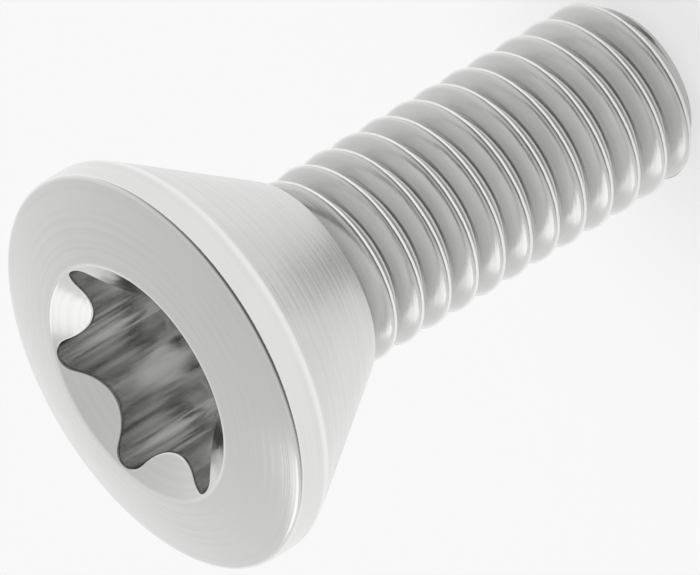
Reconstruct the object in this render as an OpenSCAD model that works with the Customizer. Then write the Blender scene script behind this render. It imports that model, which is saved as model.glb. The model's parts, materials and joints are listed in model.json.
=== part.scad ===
// Raised countersunk machine screw with a six-lobe socket.
// One solid piece of metal, standing on its flat tip with the socket up.
// All sizes are in millimetres and degrees.

/* [Head] */
// Diameter of the head over its straight rim
head_d = 8.4; // [7.6:0.1:9.2]
// Height of the straight rim
rim_h = 0.67; // [0.4:0.01:1]
// Included angle of the countersunk cone
cone_angle = 66; // [60:1:80]
// Rise of the low dome over the rim
dome_h = 0.66; // [0.4:0.01:1]
// Step from the foot of the cone in to the thread
neck_step = 0.22; // [0.1:0.01:0.4]

/* [Socket] */
// Diameter over the six lobes
lobe_d = 4.9; // [4.2:0.05:5.2]
// Radius of the rounded end of a lobe
lobe_r = 0.36; // [0.3:0.01:0.42]
// Height of the rounded flutes between the lobes
flute_h = 0.7; // [0.5:0.05:0.8]
// Depth of the straight walls under the mouth
socket_depth = 2.8; // [2:0.1:3]
// Included angle of the chamfer round the mouth
mouth_angle = 120; // [100:1:140]
// Width of the chamfer outside the lobes
mouth_land = 0.06; // [0.02:0.01:0.15]
// Included angle of the pointed floor
floor_angle = 130; // [110:1:150]
// Width of the flat ledge between the flutes and the pointed floor
floor_ledge = 0.3; // [0.1:0.05:0.6]

/* [Thread] */
// Outer diameter of the thread
thread_d = 4; // [3.8:0.05:4.2]
// Distance from one turn to the next
pitch = 0.7; // [0.6:0.05:0.8]
// Length from the upper edge of the rim to the tip
screw_l = 12.5; // [10:0.1:20]
// Width of the bevel round the tip
tip_bevel = 0.45; // [0.45:0.01:0.7]
// Turn of the thread about the axis
thread_turn = -116; // [-180:1:180]
// Straight sides in one turn of the groove
turn_sides = 36; // [24:4:60]

/* [Hidden] */
$fn = 96;

// How far a cutting shape reaches past the surface that it cuts
overcut = 1;
// How far the shank reaches into the head
shank_inset = 0.4;

// Head: the upper edge of the rim is at height 0 and the tip points down
head_r = head_d / 2;
thread_r = thread_d / 2;
neck_r = thread_r + neck_step;
head_h = rim_h + (head_r - neck_r) / tan(cone_angle / 2);
dome_r = (head_r * head_r + dome_h * dome_h) / (2 * dome_h);

// Socket: lobes and flutes are arcs that meet in tangents
lobes = 6;
half_step = 180 / lobes;
lobe_at = lobe_d / 2 - lobe_r;
flute_in = lobe_d / 2 - flute_h;
flute_r = (lobe_at * lobe_at + flute_in * flute_in - lobe_r * lobe_r
           - 2 * lobe_at * flute_in * cos(half_step))
          / (2 * (lobe_r + lobe_at * cos(half_step) - flute_in));
flute_at = flute_in + flute_r;
mouth_r = lobe_d / 2 + mouth_land;
mouth_z = dome_h - dome_r + sqrt(dome_r * dome_r - mouth_r * mouth_r);
floor_z = mouth_z - socket_depth;
floor_r = flute_in - floor_ledge;

// Thread: a metric groove, with flat crests of an eighth of the pitch
flank_angle = 30;
crest_w = pitch / 8;
groove_depth = 17 / 24 * pitch * cos(flank_angle);
groove_w = pitch - crest_w;
groove_root_r = thread_r - groove_depth;
groove_root_w = groove_w - 2 * groove_depth * tan(flank_angle);
groove_rise = crest_w / 2;
groove_outer_r = thread_r + groove_rise;
groove_outer_w = groove_w + 2 * groove_rise * tan(flank_angle);
groove_top = shank_inset + pitch - head_h;
groove_turns = (groove_top + screw_l) / pitch + 1;
groove_steps = ceil(groove_turns * turn_sides);

// Dome, rim and cone in one turned shape
module head() {
    rotate_extrude()
        intersection() {
            translate([0, dome_h - dome_r])
                circle(dome_r);
            polygon([
                [0, -head_h],
                [neck_r, -head_h],
                [head_r, -rim_h],
                [head_r, dome_h + overcut],
                [0, dome_h + overcut]
            ]);
        }
}

// Six rounded lobes with a rounded flute between each two
module six_lobe_outline() {
    difference() {
        union() {
            polygon([
                for (i = [0:2 * lobes - 1])
                    let (r = i % 2 == 0 ? lobe_at : flute_at)
                    [r * cos(half_step * i), r * sin(half_step * i)]
            ]);
            for (i = [0:lobes - 1])
                rotate(2 * half_step * i)
                    translate([lobe_at, 0])
                        circle(lobe_r);
        }
        for (i = [0:lobes - 1])
            rotate(2 * half_step * (i + 0.5))
                translate([flute_at, 0])
                    circle(flute_r);
    }
}

// A cone that opens upwards from its point, through a circle of radius r at height z
module open_cone(r, z, angle, longer) {
    h = r / tan(angle / 2);
    translate([0, 0, z - h])
        cylinder(h = h * longer, r1 = 0, r2 = r * longer);
}

// Straight six-lobe walls with a chamfered mouth and a pointed floor
module socket() {
    translate([0, 0, floor_z])
        linear_extrude(socket_depth + overcut)
            six_lobe_outline();
    open_cone(mouth_r, mouth_z, mouth_angle, longer = 1.5);
    open_cone(floor_r, floor_z, floor_angle, longer = 1.05);
}

// One right-hand helical groove, as a closed band swept from the head past the tip
module thread_groove() {
    section = [
        [groove_outer_r, -groove_outer_w / 2],
        [groove_root_r, -groove_root_w / 2],
        [groove_root_r, groove_root_w / 2],
        [groove_outer_r, groove_outer_w / 2]
    ];
    n = len(section);
    points = [
        for (i = [0:groove_steps])
            let (a = thread_turn - 360 * i / turn_sides, z = groove_top - pitch * i / turn_sides)
            for (p = section)
                [p.x * cos(a), p.x * sin(a), z + p.y]
    ];
    walls = [
        for (i = [0:groove_steps - 1])
            for (j = [0:n - 1])
                let (k = (j + 1) % n, here = n * i, next = n * (i + 1))
                each [[here + j, here + k, next + k], [here + j, next + k, next + j]]
    ];
    first = [for (j = [n - 1:-1:0]) j];
    last = [for (j = [0:n - 1]) n * groove_steps + j];
    polyhedron(points, concat(walls, [first, last]));
}

// Round shank with a bevelled tip and the thread cut along its whole length
module threaded_shank() {
    difference() {
        rotate_extrude()
            polygon([
                [0, -screw_l],
                [thread_r - tip_bevel, -screw_l],
                [thread_r, tip_bevel - screw_l],
                [thread_r, shank_inset - head_h],
                [0, shank_inset - head_h]
            ]);
        thread_groove();
    }
}

// The whole screw, with the middle of its tip at the origin
module screw() {
    color("#ebebeb")
        translate([0, 0, screw_l])
            difference() {
                union() {
                    head();
                    threaded_shank();
                }
                socket();
            }
}

screw();
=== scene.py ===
import json
import math

import bpy
from mathutils import Matrix, Vector


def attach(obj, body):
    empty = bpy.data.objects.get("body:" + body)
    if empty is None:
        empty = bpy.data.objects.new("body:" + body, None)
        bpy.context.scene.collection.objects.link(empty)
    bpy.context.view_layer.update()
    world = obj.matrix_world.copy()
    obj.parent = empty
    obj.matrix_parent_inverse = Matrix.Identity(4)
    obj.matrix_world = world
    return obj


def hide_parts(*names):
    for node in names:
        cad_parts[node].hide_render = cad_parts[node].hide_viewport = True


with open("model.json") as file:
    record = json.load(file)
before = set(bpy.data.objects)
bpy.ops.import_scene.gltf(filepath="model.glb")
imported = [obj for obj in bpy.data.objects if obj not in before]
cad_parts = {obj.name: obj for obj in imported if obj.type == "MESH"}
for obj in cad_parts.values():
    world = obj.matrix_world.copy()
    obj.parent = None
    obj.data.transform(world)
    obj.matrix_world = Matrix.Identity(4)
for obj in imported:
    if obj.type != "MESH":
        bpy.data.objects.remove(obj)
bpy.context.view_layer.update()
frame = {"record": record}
mm = 0.001  # sizes and marks are given in millimetres, and the frame is in metres
mounts = {mount["name"]: mount for mount in frame["record"]["mounts"]}
rim, thread, socket = (mounts[name]["dims"] for name in ("head_rim", "thread", "drive_socket"))
rimTop = Vector(mounts["head_rim"]["pos_m"]) + Vector((0, 0, rim["length_mm"] / 2 * mm))
print("frame loaded")


# a node socket that takes part in sums, and a way to make any other node
class Wire:
    def __init__(self, tree, socket=None):
        self.tree = tree
        self.socket = socket

    def node(self, kind, settings=None, sockets=None, output=0):
        made = self.tree.nodes.new(kind)
        for name, value in (settings or {}).items():
            setattr(made, name, value)
        for key, value in (sockets or {}).items():
            for item in value if isinstance(value, list) else [value]:
                if isinstance(item, Wire):
                    self.tree.links.new(item.socket, made.inputs[key])
                else:
                    made.inputs[key].default_value = item
        return Wire(self.tree, made.outputs[output] if made.outputs else None)

    def out(self, name):  # another output of the same node
        return Wire(self.tree, self.socket.node.outputs[name])

    def maths(self, operation, *values):
        return self.node("ShaderNodeMath", {"operation": operation}, dict(enumerate(values)))

    def __add__(self, other):
        return self.maths("ADD", self, other)

    def __radd__(self, other):
        return self.maths("ADD", other, self)

    def __sub__(self, other):
        return self.maths("SUBTRACT", self, other)

    def __rsub__(self, other):
        return self.maths("SUBTRACT", other, self)

    def __mul__(self, other):
        return self.maths("MULTIPLY", self, other)

    def __rmul__(self, other):
        return self.maths("MULTIPLY", other, self)

    def __truediv__(self, other):
        return self.maths("DIVIDE", self, other)

    def __rtruediv__(self, other):
        return self.maths("DIVIDE", other, self)

    def __neg__(self):
        return self.maths("MULTIPLY", self, -1.0)

    def __abs__(self):
        return self.maths("ABSOLUTE", self)

    def __lt__(self, other):
        return self.maths("LESS_THAN", self, other)

    def sin(self):
        return self.maths("SINE", self)

    def cos(self):
        return self.maths("COSINE", self)

    def root(self):
        return self.maths("SQRT", self)

    def fraction(self):
        return self.maths("FRACT", self)

    def atMost(self, other):
        return self.maths("MINIMUM", self, other)

    def atLeast(self, other):
        return self.maths("MAXIMUM", self, other)


# finish of the steel, with the colours for its painted shade and painted highlight: the marks are counted
# over one millimetre
steelLook = {
    "pale": (0.80, 0.80, 0.79, 1),
    # darker steel for the marks and smudges, and for the painted shade in the hollows and under the head
    "dull": (0.40, 0.40, 0.39, 1),
    # the bright steel of worn edges and crests, which also stands for a painted highlight there
    "bright": (0.93, 0.93, 0.92, 1),
    "rings": 9.0,
    "streaks": 7.0,
    "streakStretch": 20.0,
    "smudges": 0.5,
    "specks": 14.0,
    "markDetail": 4.0,
    "smudgeDetail": 3.0,
    "speckDetail": 2.0,
    "grain": 0.6,  # how rough the finer parts of every mark are
    # how much each one adds
    "markDull": 0.3,
    "smudgeDull": 0.2,
    "wearAndHighlightBright": 0.7,
    "roughness": 0.18,
    "ringRoughness": 0.16,
    "streakRoughness": 0.32,
    "smudgeRoughness": 0.15,
    "speckRoughness": 0.06,
    "dullRoughness": 0.12,
    "wornRoughness": -0.1,
    "speckHeight": 0.2,
    "bump": 0.12,
    "bumpDepth": 0.04 * mm,
}


def steelMaterial():
    look = steelLook
    material = bpy.data.materials.new("brightSteel")
    material.use_nodes = True
    material.node_tree.nodes.clear()
    steel = Wire(material.node_tree)
    place = steel.node("ShaderNodeMapping", {}, {
        "Vector": steel.node("ShaderNodeTexCoord").out("Object"),
        "Location": -rimTop / mm,
        "Scale": (1 / mm, 1 / mm, 1 / mm)})
    axes = steel.node("ShaderNodeSeparateXYZ", {}, {0: place})
    x, y, z = axes.out("X"), axes.out("Y"), axes.out("Z")

    # runs from -0.5 to 0.5
    def noise(vector, scale, detail):
        return steel.node("ShaderNodeTexNoise", {"noise_dimensions": "3D"}, {
            "Vector": vector, "Scale": scale, "Detail": detail, "Roughness": look["grain"]}) - 0.5

    def painted(name):
        return steel.node("ShaderNodeAttribute", {"attribute_name": name}).out("Fac")

    # turning marks run round the axis, and the punch leaves streaks along it
    roundAxis = steel.node("ShaderNodeCombineXYZ", {}, {"X": (x * x + y * y).root(), "Y": z})
    alongAxis = steel.node("ShaderNodeCombineXYZ", {}, {"X": x, "Y": y, "Z": z / look["streakStretch"]})
    rings = noise(roundAxis, look["rings"], look["markDetail"])
    streaks = noise(alongAxis, look["streaks"], look["markDetail"])
    smudges = noise(place, look["smudges"], look["smudgeDetail"])
    specks = noise(place, look["specks"], look["speckDetail"])
    dull, worn, punched = painted("dull"), painted("worn"), painted("punched")
    marks = rings + (streaks - rings) * punched

    # the first attribute is painted shade as well as dullness: it darkens the thread's roots, the socket,
    # the neck and the cone under the head
    plain = steel.node("ShaderNodeMix", {"data_type": "RGBA"}, {
        "Factor": dull + smudges * look["smudgeDull"] + marks * look["markDull"],
        "A": look["pale"], "B": look["dull"]}, "Result")
    # worn edges and crests turn brighter: real wear, and a painted highlight along them
    colour = steel.node("ShaderNodeMix", {"data_type": "RGBA"}, {
        "Factor": worn * (look["wearAndHighlightBright"] + smudges), "A": plain, "B": look["bright"]}, "Result")
    markRoughness = look["ringRoughness"] + punched * (look["streakRoughness"] - look["ringRoughness"])
    roughness = (
        look["roughness"]
        + marks * markRoughness
        + smudges * look["smudgeRoughness"]
        + specks * look["speckRoughness"]
        + dull * look["dullRoughness"]
        + worn * look["wornRoughness"])
    bumps = steel.node("ShaderNodeBump", {}, {
        "Strength": look["bump"], "Distance": look["bumpDepth"],
        "Height": marks + specks * look["speckHeight"]})
    metal = steel.node("ShaderNodeBsdfPrincipled", {}, {
        "Base Color": colour, "Metallic": 1.0, "Roughness": roughness, "Normal": bumps})
    steel.node("ShaderNodeOutputMaterial", {}, {"Surface": metal})
    return material


screwSettings = {
    # in mm, with the upper edge of the rim at height 0
    "sizes": {
        "Head Radius": rim["r_mm"],
        "Rim Height": rim["length_mm"],
        "Cone Half Angle": math.radians(33),
        "Neck Step": 0.22,
        "Dome Rise": 0.66,
        "Lobe Reach": socket["r_mm"],
        "Lobe Radius": 0.36,
        "Flute Height": 0.7,
        "Socket Depth": socket["length_mm"],
        "Mouth Land": 0.06,
        "Mouth Half Angle": math.radians(60),
        "Floor Ledge": 0.3,
        "Floor Half Angle": math.radians(65),
        "Thread Radius": thread["r_mm"],
        "Pitch": 0.7,
        "Thread Turn": math.radians(-116),
        "Thread Inset": 0.4,
        "Screw Length": rimTop.z / mm,
        "Tip Bevel": 0.45,
        "Edge Round": 0.1,
        "Mouth Round": 0.05,
        "Narrow Round": 0.45,  # share of a narrow chamfer that may be rounded
        "Crest Round": 0.06,
        "Tip Round": 0.08,
    },
    # how dull each face is, from 0 to 1, which also darkens its colour: real dullness, and painted shade on
    # the neck and cone under the head, in the socket and at the thread's roots
    "dull": {"tip": 0.1, "root": 0.5, "neck": 0.3, "cone": 0.2, "socket": 0.03, "floor": 0.15},
    "crestWearAndHighlight": 0.17,  # share of the thread's depth that is rubbed bright: wear, and a painted highlight along the crests
    "mesh": {
        "columns": 240, "turns": 15, "rowsPerTurn": 18,
        "edgeRows": 5, "flatRows": 6, "coneRows": 14, "domeRows": 14, "wallRows": 12,
        "weld": 0.0008,
    },
}


def screwTree():
    sizes, dull, mesh = (screwSettings[part] for part in ("sizes", "dull", "mesh"))
    tree = bpy.data.node_groups.new("screwShape", "GeometryNodeTree")
    for name, value in sizes.items():
        tree.interface.new_socket(name, in_out="INPUT", socket_type="NodeSocketFloat").default_value = value
    tree.interface.new_socket("Steel", in_out="INPUT", socket_type="NodeSocketMaterial")
    tree.interface.new_socket("Geometry", in_out="OUTPUT", socket_type="NodeSocketGeometry")
    given = Wire(tree).node("NodeGroupInput")
    size = given.out
    bands = []

    # a band round the axis: place gives radius, height and finish, with its painted shade and highlight,
    # from the angle and the way along
    def band(rows, place):
        grid = given.node("GeometryNodeMeshGrid", {}, {
            "Size X": 1.0, "Size Y": 1.0, "Vertices X": mesh["columns"] + 1, "Vertices Y": rows + 1})
        across = given.node("ShaderNodeSeparateXYZ", {}, {0: grid.out("UV Map")})
        angle = across.out("X") * math.tau
        radius, height, finishAndPaintedLight = place(angle, across.out("Y"))
        spot = given.node("ShaderNodeCombineXYZ", {}, {
            "X": radius * angle.cos(), "Y": radius * angle.sin(), "Z": height})
        made = given.node("GeometryNodeSetPosition", {}, {"Geometry": grid, "Position": spot})
        for name in ("dull", "worn", "punched"):
            made = given.node("GeometryNodeStoreNamedAttribute", {"data_type": "FLOAT", "domain": "POINT"}, {
                "Geometry": made, "Name": name, "Value": finishAndPaintedLight.get(name, 0.0)})
        bands.append(made)

    # a point of the outline is (radius, height), or a function of the angle that gives them
    def at(point, angle):
        return point(angle) if callable(point) else point

    def straight(rows, first, last, **finishAndPaintedLight):
        def place(angle, along):
            along = 0.5 - (along * math.pi).cos() * 0.5  # closer rows at both ends
            radius, height = (a + along * (b - a) for a, b in zip(at(first, angle), at(last, angle)))
            return radius, height, finishAndPaintedLight
        band(rows, place)

    # a rounded edge, drawn towards its sharp corner
    def rounded(first, corner, last, **finishAndPaintedLight):
        def place(angle, along):
            back = 1 - along
            radius, height = (
                back * back * a + 2 * back * along * b + along * along * c
                for a, b, c in zip(at(first, angle), at(corner, angle), at(last, angle)))
            return radius, height, {"worn": 4 * back * along, **finishAndPaintedLight}  # most in the middle: wear, and a painted highlight along every rounded edge
        band(mesh["edgeRows"], place)

    # thread: metric flanks with rounded crests and roots, cut by the bevel of the tip
    threadR, pitch, crestRound = size("Thread Radius"), size("Pitch"), size("Crest Round")
    headR, rimH, neckR = size("Head Radius"), size("Rim Height"), threadR + size("Neck Step")
    coneH = (headR - neckR) / given.maths("TANGENT", size("Cone Half Angle"))
    tipZ, neckZ = -size("Screw Length"), -(rimH + coneH)
    flankTilt, crestFlat, grooveShare = math.radians(30), 1 / 8, 17 / 24
    crestAhead = 1.5  # pitches from the inset to a crest
    grooveDepth = pitch * (grooveShare * math.cos(flankTilt))
    rootR = threadR - grooveDepth
    crestTurn = crestAhead - size("Thread Turn") / math.tau
    crestZ = neckZ + size("Thread Inset") + pitch * crestTurn  # at angle 0

    def threadRadius(height, angle):
        turn = (height - crestZ) / pitch - angle / math.tau
        fromCrest = abs((turn + 0.5).fraction() - 0.5)
        flank = threadR - (fromCrest - crestFlat / 2) * pitch / math.tan(flankTilt)
        crest = given.maths("SMOOTH_MIN", flank, threadR, crestRound)
        ridge = given.maths("SMOOTH_MAX", crest, rootR, crestRound)
        bevel = threadR - size("Tip Bevel") + height - tipZ
        return given.maths("SMOOTH_MIN", ridge, bevel, size("Tip Round"))

    # rows run along the helix, and stop where they meet the tip and the head
    def threadPlace(angle, along):
        below = (tipZ - crestZ) / pitch - 1
        start = crestZ + pitch * (below - below.fraction())
        helix = start + pitch * (along * mesh["turns"] + angle / math.tau)
        height = helix.atLeast(tipZ).atMost(neckZ)
        radius = threadRadius(height, angle)
        depth = (threadR - radius) / grooveDepth
        worn = (1 - depth / screwSettings["crestWearAndHighlight"]).atLeast(0.0)
        # darker and duller towards the roots: painted shade in the grooves, with real dullness
        return radius, height, {"dull": depth * dull["root"], "worn": worn}

    flatRows = mesh["flatRows"]
    straight(flatRows, (0.0, tipZ), lambda angle: (threadRadius(tipZ, angle), tipZ), dull=dull["tip"])
    band(mesh["turns"] * mesh["rowsPerTurn"], threadPlace)

    # head: face at the neck, cone, rim and dome
    edge, mouthRound = size("Edge Round"), size("Mouth Round")
    coneOut, coneUp = size("Cone Half Angle").sin() * edge, size("Cone Half Angle").cos() * edge
    domeRise = size("Dome Rise")
    domeR = (headR * headR + domeRise * domeRise) / (2 * domeRise)

    def onDome(radius):
        return radius, domeRise - domeR + (domeR * domeR - radius * radius).root()

    neckFace, neckSide = (neckR - edge, neckZ), (neckR + coneOut, neckZ + coneUp)
    coneTop, rimLow, rimHigh = (headR - coneOut, -rimH - coneUp), (headR, edge - rimH), (headR, -edge)
    mouthR = size("Lobe Reach") + size("Mouth Land")
    domeOut, domeIn = headR - edge, mouthR + mouthRound
    straight(flatRows, lambda angle: (threadRadius(neckZ, angle), neckZ), neckFace, dull=dull["neck"])
    rounded(neckFace, (neckR, neckZ), neckSide)
    straight(mesh["coneRows"], neckSide, coneTop, dull=dull["cone"])
    rounded(coneTop, (headR, -rimH), rimLow)
    straight(flatRows, rimLow, rimHigh)
    rounded(rimHigh, (headR, 0.0), onDome(domeOut))
    band(mesh["domeRows"], lambda angle, along: (*onDome(domeOut + along * (domeIn - domeOut)), {}))

    # socket: chamfered mouth, six lobes, ledge and pointed floor
    lobeR, lobeAt = size("Lobe Radius"), size("Lobe Reach") - size("Lobe Radius")
    fluteIn = size("Lobe Reach") - size("Flute Height")
    lobes = 6
    halfStep = math.pi / lobes
    lobeBack = math.cos(halfStep) * lobeAt
    fluteR = (lobeAt * lobeAt + fluteIn * fluteIn - lobeR * lobeR - 2 * lobeBack * fluteIn) / (
        2 * (lobeR + lobeBack - fluteIn))
    fluteAt = fluteIn + fluteR
    share = lobeR / (lobeR + fluteR)
    meetAside = share * fluteAt * math.sin(halfStep)
    meetOut = lobeAt + share * (fluteAt * math.cos(halfStep) - lobeAt)
    arcsMeet = given.maths("ARCTAN2", meetAside, meetOut)

    def wallRadius(angle):
        fromLobe = abs((angle / (2 * halfStep) + 0.5).fraction() - 0.5) * (2 * halfStep)
        fromFlute = halfStep - fromLobe
        lobeSide, fluteSide = lobeAt * fromLobe.sin(), fluteAt * fromFlute.sin()
        lobe = lobeAt * fromLobe.cos() + (lobeR * lobeR - lobeSide * lobeSide).root()
        flute = fluteAt * fromFlute.cos() - (fluteR * fluteR - fluteSide * fluteSide).root()
        return flute + (lobe - flute) * (fromLobe < arcsMeet)

    mouthZ = onDome(mouthR)[1]
    floorR, floorZ = fluteIn - size("Floor Ledge"), mouthZ - size("Socket Depth")

    def onChamfer(radius):
        return radius, mouthZ - (mouthR - radius) / given.maths("TANGENT", size("Mouth Half Angle"))

    # the edge under the chamfer is rounded less where the chamfer is narrow
    def chamferFoot(angle):
        wall = wallRadius(angle)
        return onChamfer(wall + mouthRound.atMost((mouthR - mouthRound - wall) * size("Narrow Round")))

    def chamferEdge(angle):
        return onChamfer(wallRadius(angle))

    def wallTop(angle):
        radius, height = chamferEdge(angle)
        return radius, height - mouthRound

    def wallFoot(angle):
        return wallRadius(angle), floorZ

    chamferTop, ledge = onChamfer(mouthR - mouthRound), (floorR, floorZ)
    floorPoint = (0.0, floorZ - floorR / given.maths("TANGENT", size("Floor Half Angle")))
    rounded(onDome(domeIn), (mouthR, mouthZ), chamferTop)
    straight(flatRows, chamferTop, chamferFoot, dull=dull["socket"])
    rounded(chamferFoot, chamferEdge, wallTop, dull=dull["socket"])
    straight(mesh["wallRows"], wallTop, wallFoot, dull=dull["socket"], punched=1.0)
    straight(flatRows, wallFoot, ledge, dull=dull["floor"])
    straight(flatRows, ledge, floorPoint, dull=dull["floor"])

    # one closed skin, put in its place in metres
    joined = given.node("GeometryNodeJoinGeometry", {}, {"Geometry": bands})
    welded = given.node("GeometryNodeMergeByDistance", {}, {
        "Geometry": joined, "Distance": mesh["weld"]})
    smooth = given.node("GeometryNodeSetShadeSmooth", {}, {"Geometry": welded})
    placed = given.node("GeometryNodeTransform", {}, {
        "Geometry": smooth, "Translation": rimTop, "Scale": (mm, mm, mm)})
    real = given.node("GeometryNodeRealizeInstances", {}, {"Geometry": placed})
    dressed = given.node("GeometryNodeSetMaterial", {}, {"Geometry": real, "Material": size("Steel")})
    given.node("NodeGroupOutput", {}, {"Geometry": dressed})
    return tree


def makeScrew():
    tree = screwTree()
    inputs = {**screwSettings["sizes"], "Steel": steelMaterial()}
    screw = bpy.data.objects.new("steelScrew", bpy.data.meshes.new("steelScrew"))
    bpy.context.scene.collection.objects.link(screw)
    shape = screw.modifiers.new("shape", "NODES")
    shape.node_group = tree
    for item in tree.interface.items_tree:
        if item.in_out == "INPUT":
            shape[item.identifier] = inputs[item.name]
    drawn = screw.evaluated_get(bpy.context.evaluated_depsgraph_get())
    mesh = bpy.data.meshes.new_from_object(drawn)
    screw.modifiers.clear()
    screw.data = mesh
    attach(screw, "root")
    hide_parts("screw")
    print("screw made:", len(mesh.vertices), "points,", len(mesh.polygons), "faces")


# the picture is 700 by 575 pixels, with the tip pointing up to the right
cameraView = {
    "azimuth": 0.09,
    "elevation": 29.97,
    "roll": 121.04,  # how far the picture is turned anticlockwise
    "pixel": 0.018985 * mm,  # size of a pixel at the rim
    "picture": (700, 575),
    "rimAt": (152.75, 373.45),  # pixel of the middle of the rim's upper edge
    "distance": 0.4,  # far off with a long lens, so that the view is nearly flat
    "clip": (0.001, 10.0),
}


def makeCamera():
    view = cameraView
    azimuth, elevation, roll = (math.radians(view[k]) for k in ("azimuth", "elevation", "roll"))
    level = Vector((math.sin(azimuth), -math.cos(azimuth), 0))
    back = level * math.cos(elevation) + Vector((0, 0, math.sin(elevation)))
    right = Matrix.Rotation(-roll, 3, back) @ Vector((math.cos(azimuth), math.sin(azimuth), 0))
    up = back.cross(right)
    aside, below = ((at - whole / 2) * view["pixel"] for at, whole in zip(view["rimAt"], view["picture"]))
    middle = rimTop - right * aside + up * below
    optics = bpy.data.cameras.new("camera")
    optics.lens = optics.sensor_width * view["distance"] / (view["picture"][0] * view["pixel"])
    optics.clip_start, optics.clip_end = view["clip"]
    camera = bpy.data.objects.new("camera", optics)
    turn = Matrix((right, up, back)).transposed().to_4x4()
    camera.matrix_world = Matrix.Translation(middle + back * view["distance"]) @ turn
    bpy.context.scene.collection.objects.link(camera)
    bpy.context.scene.camera = camera
    print("camera set")


# white paper in a soft room that is bright behind the screw and darker behind the camera
studio = {
    "white": (1, 1, 1, 1),
    "floorSize": 3.0,
    "floorColour": (0.92, 0.92, 0.92, 1),
    "plainWhite": 0.65,  # share of plain white in the floor, seen straight or in the metal
    "brightWall": 0.86,
    "darkWall": 0.12,
    "overhead": 0.3,  # how much darker it is overhead than at the horizon
    "wallEdge": (-0.45, 0.6),  # where the dark part ends and the bright part begins
    "lamps": {
        # place, size, power, and whether the metal shows it
        "key": ((-0.7, 0.7, 0.9), 0.60, 0.52, True),
        "top": ((0.0, 0.1, 1.0), 0.40, 3.4, False),
    },
}


def makeStudio():
    half = studio["floorSize"] / 2
    corners = [(-half, -half, 0), (half, -half, 0), (half, half, 0), (-half, half, 0)]
    mesh = bpy.data.meshes.new("floor")
    mesh.from_pydata(corners, [], [(0, 1, 2, 3)])
    floor = bpy.data.objects.new("floor", mesh)
    bpy.context.scene.collection.objects.link(floor)
    paper = bpy.data.materials.new("whitePaper")
    paper.use_nodes = True
    paper.node_tree.nodes.clear()
    sheet = Wire(paper.node_tree)
    rays = sheet.node("ShaderNodeLightPath")
    seen = rays.out("Is Camera Ray") + rays.out("Is Glossy Ray") + rays.out("Is Transmission Ray")
    plain = seen.atMost(1.0) * studio["plainWhite"]
    matt = sheet.node("ShaderNodeBsdfDiffuse", {}, {"Color": studio["floorColour"]})
    white = sheet.node("ShaderNodeEmission", {}, {"Color": studio["white"], "Strength": 1.0})
    both = sheet.node("ShaderNodeMixShader", {}, {0: plain, 1: matt, 2: white})
    sheet.node("ShaderNodeOutputMaterial", {}, {"Surface": both})
    mesh.materials.append(paper)

    world = bpy.data.worlds.new("studio")
    world.use_nodes = True
    world.node_tree.nodes.clear()
    sky = Wire(world.node_tree)
    ray = sky.node("ShaderNodeSeparateXYZ", {}, {0: sky.node("ShaderNodeTexCoord").out("Generated")})
    # 1 half way up behind the screw, and -1 below the camera
    behind = (ray.out("Y") + ray.out("Z")) * math.sqrt(0.5)
    glow = sky.node("ShaderNodeMapRange", {"interpolation_type": "SMOOTHSTEP"}, {
        "Value": behind, "From Min": studio["wallEdge"][0], "From Max": studio["wallEdge"][1],
        "To Min": studio["darkWall"], "To Max": studio["brightWall"]})
    glow = glow * (1 - ray.out("Z").atLeast(0.0) * studio["overhead"])
    backdrop = sky.node("ShaderNodeBackground", {}, {"Color": studio["white"], "Strength": glow})
    sky.node("ShaderNodeOutputWorld", {}, {"Surface": backdrop})
    bpy.context.scene.world = world

    for name, (place, size, power, shownInMetal) in studio["lamps"].items():
        light = bpy.data.lights.new(name, "AREA")
        light.size = size
        light.energy = power
        lamp = bpy.data.objects.new(name, light)
        lamp.location = place
        lamp.rotation_euler = Vector(place).to_track_quat("Z", "Y").to_euler()
        lamp.visible_glossy = shownInMetal
        bpy.context.scene.collection.objects.link(lamp)
    print("studio set")


bpy.context.scene.view_settings.view_transform = "Standard"
makeCamera()
makeStudio()
makeScrew()
